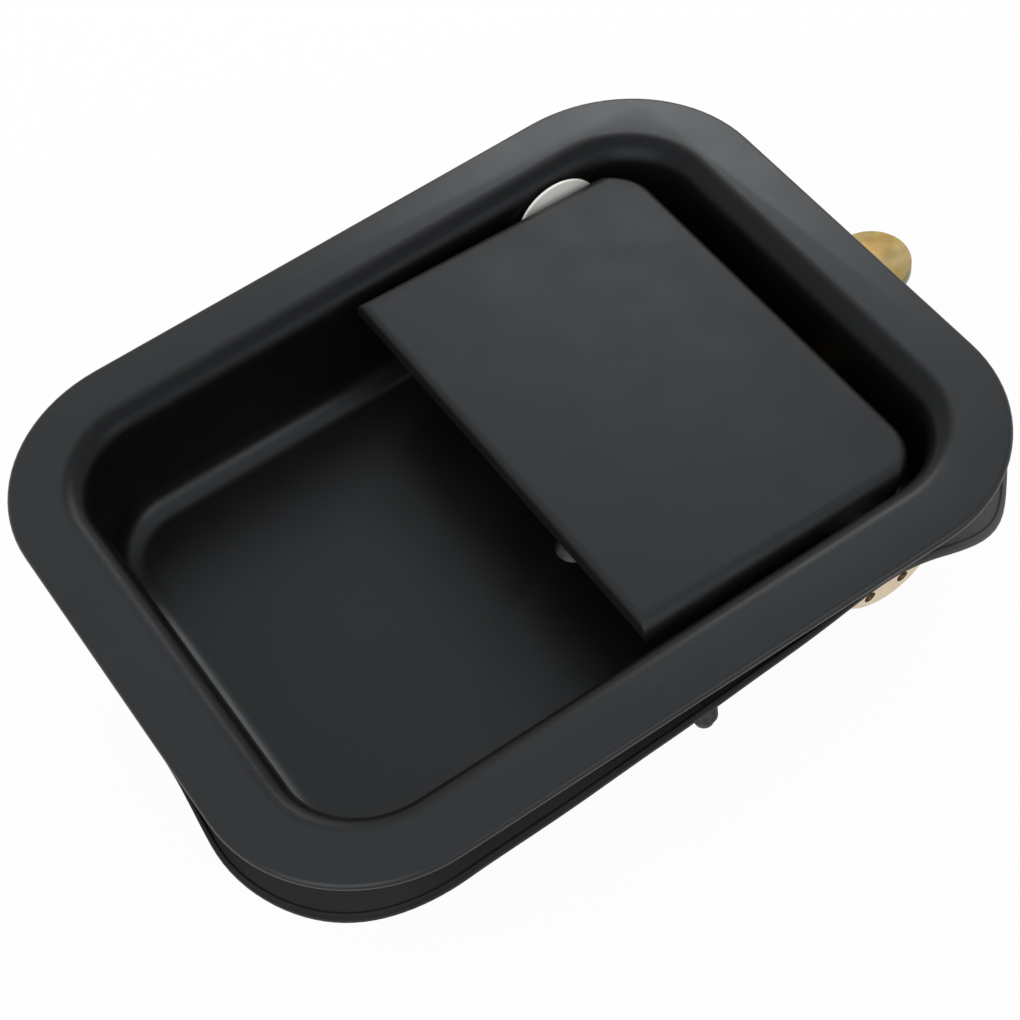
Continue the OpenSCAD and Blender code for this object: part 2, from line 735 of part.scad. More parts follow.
// Points of a wire that turns at a corner, from its side towards one point to that towards another
function elbow(from, corner, to) =
    let (a = corner + lever_hook_r * unit(from - corner), b = corner + lever_hook_r * unit(to - corner))
        [for (i = [0 : lever_hook_steps]) let (t = i / lever_hook_steps)
            (1 - t) * (1 - t) * a + 2 * t * (1 - t) * corner + t * t * b];

module paddle_spring() {
    steps = coil_steps * paddle_turns;
    upper = [-paddle_leg, paddle_leg * tan(paddle_tilt) + paddle_under / cos(paddle_tilt)
        - paddle_wire_r - paddle_leg_gap];
    lower = [-paddle_leg, floor_top - axis_z + paddle_wire_r + paddle_leg_gap];
    start = heading(upper) - leg_turn(upper, paddle_coil_r);
    finish = heading(lower) + leg_turn(lower, paddle_coil_r);
    sweep = start - finish + 360 * (paddle_turns - 1);
    coil = [for (i = [0 : steps]) let (a = start - sweep * i / steps)
        [paddle_coil_r * cos(a), paddle_coil_len * i / steps, paddle_coil_r * sin(a)]];
    color(steel) translate([axis_x, paddle_spring_y, axis_z])
        wire(concat([[upper[0], 0, upper[1]]], coil, [[lower[0], paddle_coil_len, lower[1]]]),
            paddle_wire_r);
}

module lever_spring() {
    steps = coil_steps * lever_turns;
    arm_side = [lever_dir[1], -lever_dir[0]];
    push = lever_dir * lever_push_out + arm_side * (lever_boss_r + lever_wire_r - run_gap);
    anchor = lever_anchor - lever_pivot;
    start = heading(push) + leg_turn(push, lever_coil_r);
    finish = heading(anchor) - leg_turn(anchor, lever_coil_r);
    sweep = finish - start + 360 * lever_turns;
    coil_drop = lever_coil_low - lever_coil_top;
    coil = [for (i = [0 : steps]) let (a = start + sweep * i / steps)
        [lever_coil_r * cos(a), lever_coil_r * sin(a), coil_drop * i / steps]];
    push_foot = [push[0], push[1], 0];
    push_tip = push_foot + [0, 0, lever_top - lever_coil_top];
    anchor_foot = [anchor[0], anchor[1], coil_drop];
    anchor_tip = [anchor[0], anchor[1], floor_bottom - seat_gap - lever_coil_top];
    color(steel) translate([lever_pivot[0], lever_pivot[1], lever_coil_top])
        wire(concat([push_tip], elbow(push_tip, push_foot, coil[0]), coil,
            elbow(coil[steps], anchor_foot, anchor_tip), [anchor_tip]), lever_wire_r);
}

module mounting_studs() {
    color(oxide) for (side = [-1, 1]) translate([stud_x, side * stud_y, 0]) mirror([0, 0, 1]) {
        cylinder(r = stud_base_r, h = stud_base_t);
        cylinder(r = stud_r, h = stud_len - stud_dog_len);
        cylinder(r = stud_dog_r, h = stud_len);
    }
}

// Rubber block between the drive arm and the end of its slot, with a lip on the floor
module arm_bumper() {
    block_w = arm_w + 2 * slot_side - 2 * slot_r;
    color(rubber) translate([slot_back_x - bumper_len, arm_y - block_w / 2, 0]) {
        translate([0, 0, web_bottom]) cube([bumper_len, block_w, floor_top - web_bottom]);
        translate([0, 0, floor_top]) cube([bumper_len + bumper_lip, block_w, bumper_lip]);
    }
}

// Loose gasket: how far its outer edge hangs below the flange, and slips in or stands out, near a
// point of the flange edge
near_edge = -flange_wid / 2;
function near_corner(x, turn) = [x, -corner_y] + flange_corner_r * [cos(turn), sin(turn)];
pocket_corner_turn = 205;
pocket_corner = near_corner(-corner_x, pocket_corner_turn);
pocket_corner_reach = 16.7;
near_side_dx = 16;
near_side = [near_side_dx - corner_x, near_edge];
near_side_reach = 22;
near_side_share = 0.47;
hinge_corner_turn = 293;
hinge_corner = near_corner(corner_x, hinge_corner_turn);
hinge_corner_reach = 14.4;
hinge_corner_share = 0.73;
hinge_bulge = 1.2;
hinge_bulge_reach = 6;
ear_side_dx = 1.3;
ear_side = [axis_x - ear_side_dx, near_edge];
ear_side_reach = 12.4;
slip_under = 1.5;
function swell(p, centre, reach) = exp(-pow(norm(p - centre) / reach, 2));
function gasket_drop(p) =
    gasket_sag * (swell(p, pocket_corner, pocket_corner_reach)
        + near_side_share * swell(p, near_side, near_side_reach)
        + hinge_corner_share * swell(p, hinge_corner, hinge_corner_reach));
function gasket_slip(p) = slip_under * swell(p, ear_side, ear_side_reach)
    - hinge_bulge * swell(p, hinge_corner, hinge_bulge_reach);

// Stations round the gasket: a point on the rectangle of corner centres and a way out
function straight(a, b, out, steps) = [for (i = [1 : steps - 1]) [a + (b - a) * i / steps, out]];
function arc(c, a0) = [for (i = [0 : gasket_arc_steps])
    let (a = a0 + 90 * i / gasket_arc_steps) [c, [cos(a), sin(a)]]];
gasket_stations = let (c = [corner_x, corner_y], e = [-corner_x, corner_y]) concat(
    arc(c, 0), straight(c, e, [0, 1], gasket_long_steps),
    arc(e, 90), straight(e, -c, [-1, 0], gasket_short_steps),
    arc(-c, 180), straight(-c, -e, [0, -1], gasket_long_steps),
    arc(-e, 270), straight(-e, c, [1, 0], gasket_short_steps));

// Section of the gasket: distance outside the flange edge, and height
gasket_section = let (o = -gasket_back, l = -gasket_back - gasket_lip_w, r = gasket_round) [
    [-gasket_w, gasket_bottom], [o - r, gasket_bottom], [o, gasket_bottom + r],
    [o, gasket_lip_top - r], [o - r, gasket_lip_top], [l + r, gasket_lip_top],
    [l, gasket_lip_top - r], [l, gasket_top], [-gasket_w, gasket_top]];

module gasket_ring() {
    rings = len(gasket_stations);
    sides = len(gasket_section);
    points = [for (s = gasket_stations, q = gasket_section)
        let (edge = s[0] + flange_corner_r * s[1],
            xy = s[0] + (flange_corner_r + q[0] - gasket_slip(edge)) * s[1],
            hang = (q[0] + gasket_w) / (gasket_w - gasket_back))
            [xy[0], xy[1], q[1] - gasket_drop(edge) * hang]];
    faces = [for (i = [0 : rings - 1], k = [0 : sides - 1])
        let (j = (i + 1) % rings, m = (k + 1) % sides, a = i * sides + k, b = i * sides + m,
            c = j * sides + m, d = j * sides + k)
            each [[a, c, b], [a, d, c]]];
    polyhedron(points = points, faces = faces, convexity = 8);
}

module door_gasket() {
    color(rubber) difference() {
        gasket_ring();
        for (side = [-1, 1]) translate([stud_x, side * stud_y, gasket_bottom - 2 * gasket_sag])
            cylinder(r = stud_base_r + stud_hole_gap, h = 2 * gasket_sag - gasket_bottom);
    }
}

pan_housing();
door_gasket();
mounting_studs();
pivot_ear_near();
pivot_ear_far();
pivot_bracket();
bracket_rivets();
pivot_bush_near();
pivot_bush_far();
thrust_washer();
arm_bumper();
lever_rivet();
lever_washer();
paddle();
paddle_arm();
pivot_pin();
pin_clip();
pin_washer();
spring_spool();
paddle_spring();
release_lever();
lever_bush();
lever_spring();
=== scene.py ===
"""Looks of a recessed paddle door handle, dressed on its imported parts. Metres, in the part's own frame."""
import json
import math

import bpy
from mathutils import Matrix, Vector


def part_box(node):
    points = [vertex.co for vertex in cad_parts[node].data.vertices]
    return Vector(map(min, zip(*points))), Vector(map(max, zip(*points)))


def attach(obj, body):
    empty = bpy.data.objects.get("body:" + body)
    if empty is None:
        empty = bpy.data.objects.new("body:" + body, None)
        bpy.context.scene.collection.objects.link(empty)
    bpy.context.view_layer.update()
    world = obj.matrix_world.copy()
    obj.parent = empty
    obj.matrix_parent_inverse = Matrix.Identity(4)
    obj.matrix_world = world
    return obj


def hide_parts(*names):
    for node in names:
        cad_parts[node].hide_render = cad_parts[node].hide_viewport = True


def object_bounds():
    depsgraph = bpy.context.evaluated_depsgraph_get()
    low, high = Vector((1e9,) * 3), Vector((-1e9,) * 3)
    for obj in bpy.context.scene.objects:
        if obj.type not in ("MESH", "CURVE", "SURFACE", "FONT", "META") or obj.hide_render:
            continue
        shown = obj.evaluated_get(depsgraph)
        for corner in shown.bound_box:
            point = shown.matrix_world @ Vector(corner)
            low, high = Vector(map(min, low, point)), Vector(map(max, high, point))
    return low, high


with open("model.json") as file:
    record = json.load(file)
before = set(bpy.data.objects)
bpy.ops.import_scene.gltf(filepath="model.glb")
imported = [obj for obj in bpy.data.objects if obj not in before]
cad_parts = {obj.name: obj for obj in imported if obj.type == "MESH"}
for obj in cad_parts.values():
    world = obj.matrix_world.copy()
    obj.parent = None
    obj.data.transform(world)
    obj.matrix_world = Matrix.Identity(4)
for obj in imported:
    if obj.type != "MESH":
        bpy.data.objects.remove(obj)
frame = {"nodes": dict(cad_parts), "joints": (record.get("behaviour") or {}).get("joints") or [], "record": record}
cad_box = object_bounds()
nodes = frame["nodes"]
slot_of = {row["node"]: row["material_slot"] for row in frame["record"]["subparts"]}
joint_at = {joint["name"]: joint["pos_m"] for joint in frame["joints"]}

# Camera: where it stands, what it looks at and how it leans to one side
CAMERA_AT = Vector((-0.08954, -0.19383, 0.27319))
CAMERA_AIM = Vector((-0.00442, -0.00891, 0.0))
CAMERA_LEAN = math.radians(-11.17)
CAMERA_LENS_MM = 86.06
CAMERA_SENSOR_MM = 36.0
CAMERA_CLIP_START = 0.01

# Lamps: name, place, width and height, power in watts
LAMPS = (
    ("back_right_strip", Vector((0.198, 0.250, 0.215)), (0.18, 0.07), 0.26),
    ("top_box", Vector((-0.10, 0.10, 0.80)), (0.70, 0.70), 0.3),
    ("front_left_box", Vector((-0.45, -0.32, 0.38)), (0.60, 0.60), 2.0),
    ("front_right_box", Vector((0.20, -0.46, 0.30)), (0.34, 0.22), 0.4),
)
WORLD_FILL = 0.6
WHITE = (1.0, 1.0, 1.0, 1.0)
FLOOR_SIZE = 6.0
FLOOR_COLOUR = (0.92, 0.92, 0.91)
FLOOR_ROUGHNESS = 0.9
FLOOR_WHITE_SHARE = 0.95

# Edge rounding of the stamped and turned parts: widths by part, and what counts as flat or as an edge
EDGES = {
    "pan_housing": 0.00015, "pivot_ear_near": 0.00025, "pivot_ear_far": 0.00025,
    "pivot_bracket": 0.00022, "bracket_rivets": 0.00008, "pivot_bush_near": 0.00012,
    "pivot_bush_far": 0.00012, "thrust_washer": 0.0001, "arm_bumper": 0.0004,
    "lever_rivet": 0.0001, "lever_washer": 0.00012, "paddle": 0.00022, "paddle_arm": 0.0002,
    "pivot_pin": 0.00025, "pin_clip": 0.00012, "pin_washer": 0.0001, "spring_spool": 0.00012,
    "release_lever": 0.00028, "lever_bush": 0.0001,
}
WIRES = ("paddle_spring", "lever_spring")
WELD_DISTANCE = 1e-6
FLAT_ANGLE = math.radians(0.4)
EDGE_ANGLE = math.radians(32)
EDGE_SEGMENTS = 2

# Pan flange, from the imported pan, and its corner radius
pan_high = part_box("pan_housing")[1]
FLANGE_HALF_LEN = pan_high.x
FLANGE_HALF_WID = pan_high.y
FLANGE_CORNER_R = 0.024
CORNER_X = FLANGE_HALF_LEN - FLANGE_CORNER_R
CORNER_Y = FLANGE_HALF_WID - FLANGE_CORNER_R

# Gasket section: heights below the back of the flange, distances inside the flange edge, and steps
GASKET_LIP_TOP = -0.0002
GASKET_LIP_H = 0.0005
GASKET_LIP_W = 0.0007
GASKET_T = 0.0006
GASKET_IN = 0.0064
GASKET_BACK = 0.0003
GASKET_EDGE_R = 0.45 * GASKET_T
GASKET_FILLET_R = 0.00015
GASKET_FILLET_TURNS = (0.0, -0.4, -0.8, -1.2, -math.pi / 2)
GASKET_BEAD_STEPS = 6
GASKET_WAVE = 0.00005
GASKET_WAVES = (5, 11, 17)
GASKET_STEPS = {"arc": 28, "long": 60, "short": 40}


def near_corner(x, turn):
    """Point on the flange's edge at a near corner, a turn in degrees about the corner's centre."""
    turn = math.radians(turn)
    return Vector((x, -CORNER_Y)) + FLANGE_CORNER_R * Vector((math.cos(turn), math.sin(turn)))


# Loose gasket: how far its outer edge hangs, slips in or stands out, as (centre, reach, size)
HINGE_X = joint_at["paddle_hinge"][0]
GASKET_SAGS = (
    (near_corner(-CORNER_X, 219), 0.0172, 0.0069),
    (Vector((0.0132 - CORNER_X, -FLANGE_HALF_WID)), 0.0271, 0.0044),
    (Vector((HINGE_X - 0.0141, -FLANGE_HALF_WID)), 0.0260, 0.0017),
    (near_corner(CORNER_X, 297), 0.0142, 0.0072),
)
GASKET_SLIPS = (
    (Vector((HINGE_X + 0.0008, -FLANGE_HALF_WID)), 0.0160, 0.0018),
    (near_corner(CORNER_X, 297), 0.0060, -0.0013),
    (near_corner(-CORNER_X, 190), 0.0115, -0.0011),
)

# Studs: M4 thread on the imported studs' places, and the cutter of their holes in the gasket
STUD_R = 0.002
STUD_BASE_R = 0.0026
STUD_BASE_H = 0.0006
STUD_BASE_INSET = 0.0002
STUD_BASE_CHAMFER = 0.0003
STUD_PITCH = 0.0007
STUD_THREAD_DEPTH = 0.0004
STUD_FLANK_SLOPE = 1.5
STUD_DOG_R = 0.0014
STUD_DOG_LEN = 0.0018
STUD_DOG_CHAMFER = 0.0001
STUD_SIDES = 40
STUD_STEPS_PER_TURN = 8
STUD_HOLE_R = 0.0023
STUD_HOLE_SIDES = 48
STUD_HOLE_LEN = 0.03
STUD_HOLE_MIDDLE = -0.014
# Round end of the stud: distance before the tip, and inset from the dog point's radius
STUD_TIP = ((0.0004, 0.0), (0.0001, 0.0003), (0.0, 0.0005))

# Paint: heights between which its gloss dulls as painted shade in the pocket, the share of its gloss on the bends
# at rim and floor, painted shade on the rim's and a painted highlight on the floor's, and the outward leans
# between which a bend sets in, below zero because such a face looks to the middle
POCKET_DEEP = -0.018
POCKET_SHALLOW = -0.004
RIM_BEND_SHEEN = 0.42
FLOOR_BEND_SHEEN = 1.15
BEND_STEEP = -0.016
BEND_START = -0.002

# Rubber: places along the handle between which a painted sheen lightens it towards the hinge end
SHEEN_START = 0.028
SHEEN_FULL = 0.060

# Colours in linear light, and the usual range of a noise
COAT_DARK = (0.0026, 0.0027, 0.0029)
COAT_LIGHT = (0.0034, 0.0035, 0.0038)
COAT_SPECK = (0.012, 0.012, 0.0122, 1.0)
COAT_SHEEN = (0.90, 0.955, 1.0, 1.0)
RUBBER_DARK = (0.006, 0.0058, 0.0056)
RUBBER_LIGHT = (0.012, 0.0116, 0.0112)
# Painted sheen: the grey that lightens the rubber towards the hinge end
RUBBER_SHEEN = (0.105, 0.101, 0.101, 1.0)
# Chromate in two copies: the first darkened as painted shade for the lever and the other plated parts, the second
# paler as painted light on the ears
GOLD = ((0.30, (0.175, 0.110, 0.042)), (0.45, (0.190, 0.130, 0.044)),
        (0.58, (0.165, 0.130, 0.056)), (0.72, (0.225, 0.135, 0.088)))
LIT_GOLD = ((0.30, (0.50, 0.40, 0.29)), (0.45, (0.66, 0.54, 0.39)),
             (0.58, (0.64, 0.55, 0.41)), (0.72, (0.76, 0.62, 0.50)))
NYLON_DARK = (0.80, 0.80, 0.75)
NYLON_LIGHT = (0.86, 0.86, 0.82)
ZINC_DARK = (0.50, 0.51, 0.54)
ZINC_LIGHT = (0.62, 0.63, 0.66)
OXIDE_DARK = (0.030, 0.028, 0.027)
OXIDE_LIGHT = (0.060, 0.056, 0.052)
NOISE_LOW = 0.3
NOISE_HIGH = 0.7


# Node helpers
def add_node(tree, kind, **settings):
    """New shader node with its properties set by name and its sockets by label."""
    node = tree.nodes.new(kind)
    for key, value in settings.pop("sockets", {}).items():
        node.inputs[key].default_value = value
    for key, value in settings.items():
        setattr(node, key, value)
    return node


def new_material(name):
    """Material with an empty principled shader; returns the material, its tree and the shader."""
    material = bpy.data.materials.new(name)
    material.use_nodes = True
    tree = material.node_tree
    return material, tree, tree.nodes["Principled BSDF"]


def object_noise(tree, scale, detail=2.0, stretch=(1.0, 1.0, 1.0)):
    """Noise over the part's own coordinates, in cycles to the metre."""
    coords = add_node(tree, "ShaderNodeTexCoord")
    mapping = add_node(tree, "ShaderNodeMapping", sockets={"Scale": stretch})
    noise = add_node(tree, "ShaderNodeTexNoise", sockets={"Scale": scale, "Detail": detail})
    tree.links.new(coords.outputs["Object"], mapping.inputs["Vector"])
    tree.links.new(mapping.outputs["Vector"], noise.inputs["Vector"])
    return noise.outputs["Fac"]


def object_place(tree, axis):
    """Place along one of the part's own axes, in metres."""
    coords = add_node(tree, "ShaderNodeTexCoord")
    split = add_node(tree, "ShaderNodeSeparateXYZ")
    tree.links.new(coords.outputs["Object"], split.inputs["Vector"])
    return split.outputs[axis]


def outward_lean(tree):
    """How far a face leans out from the part's middle, times its distance from there in metres."""
    coords = add_node(tree, "ShaderNodeTexCoord")
    level = add_node(tree, "ShaderNodeVectorMath", operation="MULTIPLY")
    level.inputs[1].default_value = (1.0, 1.0, 0.0)
    product = add_node(tree, "ShaderNodeVectorMath", operation="DOT_PRODUCT")
    tree.links.new(coords.outputs["Object"], level.inputs[0])
    tree.links.new(level.outputs["Vector"], product.inputs[0])
    tree.links.new(coords.outputs["Normal"], product.inputs[1])
    return product.outputs["Value"]


def remap(tree, value, low, high, from_low=NOISE_LOW, from_high=NOISE_HIGH):
    """Value spread from a range, a noise's unless one is given, to low .. high."""
    node = add_node(tree, "ShaderNodeMapRange", sockets={
        "From Min": from_low, "From Max": from_high, "To Min": low, "To Max": high})
    tree.links.new(value, node.inputs["Value"])
    return node.outputs["Result"]


def colour_ramp(tree, value, stops):
    """Colours at places from 0 to 1."""
    node = add_node(tree, "ShaderNodeValToRGB")
    elements = node.color_ramp.elements
    while len(elements) < len(stops):
        elements.new(0.5)
    for element, (place, colour) in zip(elements, stops):
        element.position = place
        element.color = (*colour, 1.0)
    tree.links.new(value, node.inputs["Fac"])
    return node.outputs["Color"]


def cover(tree, colour, share, over):
    """Colour covered by another one in a share that changes from place to place."""
    node = add_node(tree, "ShaderNodeMixRGB", sockets={"Color2": over})
    tree.links.new(share, node.inputs["Fac"])
    tree.links.new(colour, node.inputs["Color1"])
    return node.outputs["Color"]


def add_bumps(tree, shader, *bumps):
    """Chains bumps of (height, strength, distance in metres) into the shader's normal."""
    normal = None
    for height, strength, distance in bumps:
        node = add_node(tree, "ShaderNodeBump", sockets={"Strength": strength, "Distance": distance})
        tree.links.new(height, node.inputs["Height"])
        if normal is not None:
            tree.links.new(normal, node.inputs["Normal"])
        normal = node.outputs["Normal"]
    tree.links.new(normal, shader.inputs["Normal"])


# Materials
def painted_shade_and_highlight(tree, gloss, deep_gloss):
    """Painted shade and highlight in the paint's gloss: duller deep down and on the rim's bend as painted shade,
    livelier on the floor's bend as a painted highlight.
    """
    depth = object_place(tree, "Z")
    faces = remap(tree, depth, deep_gloss, gloss, POCKET_DEEP, POCKET_SHALLOW)
    steep = remap(tree, depth, FLOOR_BEND_SHEEN, RIM_BEND_SHEEN, POCKET_DEEP, POCKET_SHALLOW)
    bends = add_node(tree, "ShaderNodeMapRange", sockets={"From Min": BEND_STEEP, "From Max": BEND_START})
    tree.links.new(outward_lean(tree), bends.inputs["Value"])
    tree.links.new(steep, bends.inputs["To Min"])
    sheen = add_node(tree, "ShaderNodeMath", operation="MULTIPLY")
    tree.links.new(faces, sheen.inputs[0])
    tree.links.new(bends.outputs["Result"], sheen.inputs[1])
    return sheen.outputs["Value"]


def powder_coat(name, gloss, deep_gloss, rough_low, rough_high):
    """Satin black powder coat: fine orange peel, painted shade as a gloss duller in the depth, and a few dust
    specks.
    """
    material, tree, shader = new_material(name)
    tone = object_noise(tree, scale=45.0)
    specks = remap(tree, object_noise(tree, scale=2600.0, detail=0.0), low=0.0, high=0.6,
                   from_low=0.74, from_high=0.80)
    colour = colour_ramp(tree, tone, ((NOISE_LOW, COAT_DARK), (NOISE_HIGH, COAT_LIGHT)))
    rough = remap(tree, object_noise(tree, scale=130.0), rough_low, rough_high)
    shader.inputs["Specular Tint"].default_value = COAT_SHEEN
    tree.links.new(painted_shade_and_highlight(tree, gloss, deep_gloss), shader.inputs["Specular IOR Level"])
    tree.links.new(cover(tree, colour, specks, COAT_SPECK), shader.inputs["Base Color"])
    tree.links.new(rough, shader.inputs["Roughness"])
    peel = object_noise(tree, scale=750.0)
    grain = object_noise(tree, scale=4200.0)
    add_bumps(tree, shader, (peel, 0.10, 0.0001), (grain, 0.10, 0.00002))
    return material


def moulded_rubber():
    """Matt black rubber with a fine moulded grain and bloom, and a painted sheen that lightens it towards the
    hinge end.
    """
    material, tree, shader = new_material("moulded_rubber")
    shader.inputs["Specular IOR Level"].default_value = 0.13
    bloom = object_noise(tree, scale=90.0, detail=4.0)
    colour = colour_ramp(tree, bloom, ((0.35, RUBBER_DARK), (NOISE_HIGH, RUBBER_LIGHT)))
    # Painted sheen: the rubber's colour turns lighter towards the hinge end
    painted_sheen = remap(tree, object_place(tree, "X"), 0.0, 1.0, SHEEN_START, SHEEN_FULL)
    tree.links.new(cover(tree, colour, painted_sheen, RUBBER_SHEEN), shader.inputs["Base Color"])
    tree.links.new(remap(tree, bloom, low=0.42, high=0.60), shader.inputs["Roughness"])
    add_bumps(tree, shader, (object_noise(tree, scale=2200.0), 0.15, 0.00004))
    return material


def yellow_chromate(name, stops):
    """Yellow chromate on zinc plate: gold that drifts to green and pink, over rolling marks."""
    material, tree, shader = new_material(name)
    shader.inputs["Metallic"].default_value = 1.0
    drift = object_noise(tree, scale=110.0, detail=3.0)
    rough = remap(tree, object_noise(tree, scale=420.0, detail=4.0), low=0.26, high=0.42)
    tree.links.new(colour_ramp(tree, drift, stops), shader.inputs["Base Color"])
    tree.links.new(rough, shader.inputs["Roughness"])
    rolling = object_noise(tree, scale=900.0, stretch=(0.06, 1.0, 1.0))
    grain = object_noise(tree, scale=3000.0)
    add_bumps(tree, shader, (rolling, 0.12, 0.00005), (grain, 0.06, 0.00003))
    return material


def natural_nylon():
    """Natural white nylon, faintly cloudy, with a fine moulded skin."""
    material, tree, shader = new_material("natural_nylon")
    shader.inputs["Subsurface Weight"].default_value = 0.2
    shader.inputs["Subsurface Scale"].default_value = 0.001
    cloud = object_noise(tree, scale=260.0)
    colour = colour_ramp(tree, cloud, ((NOISE_LOW, NYLON_DARK), (NOISE_HIGH, NYLON_LIGHT)))
    tree.links.new(colour, shader.inputs["Base Color"])
    tree.links.new(remap(tree, cloud, low=0.36, high=0.46), shader.inputs["Roughness"])
    add_bumps(tree, shader, (object_noise(tree, scale=1900.0), 0.10, 0.00004))
    return material


def plated_steel(name, dark, light, rough_low, rough_high):
    """Plated or blacked steel with a mottled finish and fine drawing lines."""
    material, tree, shader = new_material(name)
    shader.inputs["Metallic"].default_value = 1.0
    mottle = object_noise(tree, scale=700.0, detail=3.0)
    colour = colour_ramp(tree, mottle, ((NOISE_LOW, dark), (NOISE_HIGH, light)))
    tree.links.new(colour, shader.inputs["Base Color"])
    tree.links.new(remap(tree, mottle, rough_low, rough_high), shader.inputs["Roughness"])
    lines = object_noise(tree, scale=2600.0, stretch=(1.0, 0.1, 1.0))
    add_bumps(tree, shader, (lines, 0.10, 0.00003))
    return material


MATERIALS = {
    "satin_black": powder_coat("satin_black_coat", gloss=0.38, deep_gloss=0.30,
                               rough_low=0.32, rough_high=0.37),
    "black_rubber": moulded_rubber(),
    "yellow_zinc": yellow_chromate("yellow_chromate", GOLD),
    "white_nylon": natural_nylon(),
    "bright_steel": plated_steel("bright_zinc", ZINC_DARK, ZINC_LIGHT, rough_low=0.24, rough_high=0.38),
    "dark_steel": plated_steel("black_oxide", OXIDE_DARK, OXIDE_LIGHT, rough_low=0.38, rough_high=0.52),
}

# Copies of a slot's material for single parts, as painted light and shade: a duller coat on the paddle is painted
# shade, a paler chromate on the ears painted light
lit_chromate = yellow_chromate("lit_chromate", LIT_GOLD)
OWN_MATERIALS = {
    "paddle": powder_coat("paddle_coat", gloss=0.335, deep_gloss=0.335,
                          rough_low=0.46, rough_high=0.52),
    "pivot_ear_near": lit_chromate,
    "pivot_ear_far": lit_chromate,
}


def paint(obj, material):
    """Gives an object one material."""
    obj.data.materials.clear()
    obj.data.materials.append(material)


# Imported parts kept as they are, with rounded edges and their finish
def smooth_part(name):
    """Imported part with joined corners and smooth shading; returns the part."""
    part = nodes[name]
    mesh = part.data
    for layer in ("custom_normal", "sharp_edge"):
        if layer in mesh.attributes:
            mesh.attributes.remove(mesh.attributes[layer])
    mesh.shade_smooth()
    weld = part.modifiers.new("weld", "WELD")
    weld.merge_threshold = WELD_DISTANCE
    return part


def dress(name, edge):
    """Edges rounded by the given width, and the part's own lit or shaded copy of a material, or that of its slot.
    """
    part = smooth_part(name)
    flats = part.modifiers.new("flats", "DECIMATE")
    flats.decimate_type = "DISSOLVE"
    flats.angle_limit = FLAT_ANGLE
    bevel = part.modifiers.new("edges", "BEVEL")
    bevel.width = edge
    bevel.segments = EDGE_SEGMENTS
    bevel.limit_method = "ANGLE"
    bevel.angle_limit = EDGE_ANGLE
    bevel.harden_normals = True
    paint(part, OWN_MATERIALS.get(name, MATERIALS[slot_of[name]]))


def dress_wire(name):
    """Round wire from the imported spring's few sides."""
    part = smooth_part(name)
    rounding = part.modifiers.new("rounding", "SUBSURF")
    rounding.levels = 1
    rounding.render_levels = 1
    paint(part, MATERIALS[slot_of[name]])


# Modelled pieces
def add_piece(name, verts, faces, slot, body, *replaced):
    """Smooth mesh piece of a finish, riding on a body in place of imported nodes."""
    mesh = bpy.data.meshes.new(name)
    mesh.from_pydata(verts, [], faces)
    mesh.validate()
    mesh.shade_smooth()
    piece = bpy.data.objects.new(name, mesh)
    bpy.context.scene.collection.objects.link(piece)
    paint(piece, MATERIALS[slot])
    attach(piece, body)
    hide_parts(*replaced)
    return piece


def gasket_stations():
    """Points on the rectangle of corner centres, each with its way out, once round the flange."""
    signs = ((1, 1), (-1, 1), (-1, -1), (1, -1))
    corners = [Vector((x * CORNER_X, y * CORNER_Y)) for x, y in signs]
    stations = []
    for index, here in enumerate(corners):
        there = corners[(index + 1) % len(corners)]
        for step in range(GASKET_STEPS["arc"] + 1):
            turn = math.pi / 2 * (index + step / GASKET_STEPS["arc"])
            stations.append((here, Vector((math.cos(turn), math.sin(turn)))))
        side = math.pi / 2 * (index + 1)
        count = GASKET_STEPS["long" if index % 2 == 0 else "short"]
        for step in range(1, count):
            stations.append((here.lerp(there, step / count), Vector((math.cos(side), math.sin(side)))))
    return stations


def swell(point, bump):
    """Size of a bump at a point, fading with the distance from its centre."""
    centre, reach, size = bump
    return size * math.exp(-((point - centre).length / reach) ** 2)


def corner_arc(x, z, r, start, steps=4):
    """Quarter turn about (x, z), counter-clockwise from a start in quarter turns."""
    return [(x + r * math.cos(math.pi / 2 * (start + i / steps)),
             z + r * math.sin(math.pi / 2 * (start + i / steps))) for i in range(steps + 1)]


def gasket_section():
    """Rounded section of the gasket, counter-clockwise: distance outside the flange edge, and height."""
    top = GASKET_LIP_TOP - GASKET_LIP_H
    low = top - GASKET_T
    bead = GASKET_LIP_W / 2
    edge = GASKET_EDGE_R
    fillet = GASKET_FILLET_R
    outer = -GASKET_BACK
    inner = outer - GASKET_LIP_W
    fillet_arc = [(inner - fillet + fillet * math.cos(turn), top + fillet + fillet * math.sin(turn))
                  for turn in GASKET_FILLET_TURNS]
    return (corner_arc(-GASKET_IN + edge, low + edge, edge, 2)
            + corner_arc(outer - edge, low + edge, edge, 3)
            + corner_arc(outer - bead, GASKET_LIP_TOP - bead, bead, 0, GASKET_BEAD_STEPS)
            + corner_arc(outer - bead, GASKET_LIP_TOP - bead, bead, 1, GASKET_BEAD_STEPS)[1:]
            + fillet_arc
            + corner_arc(-GASKET_IN + edge, top - edge, edge, 1)[:-1])


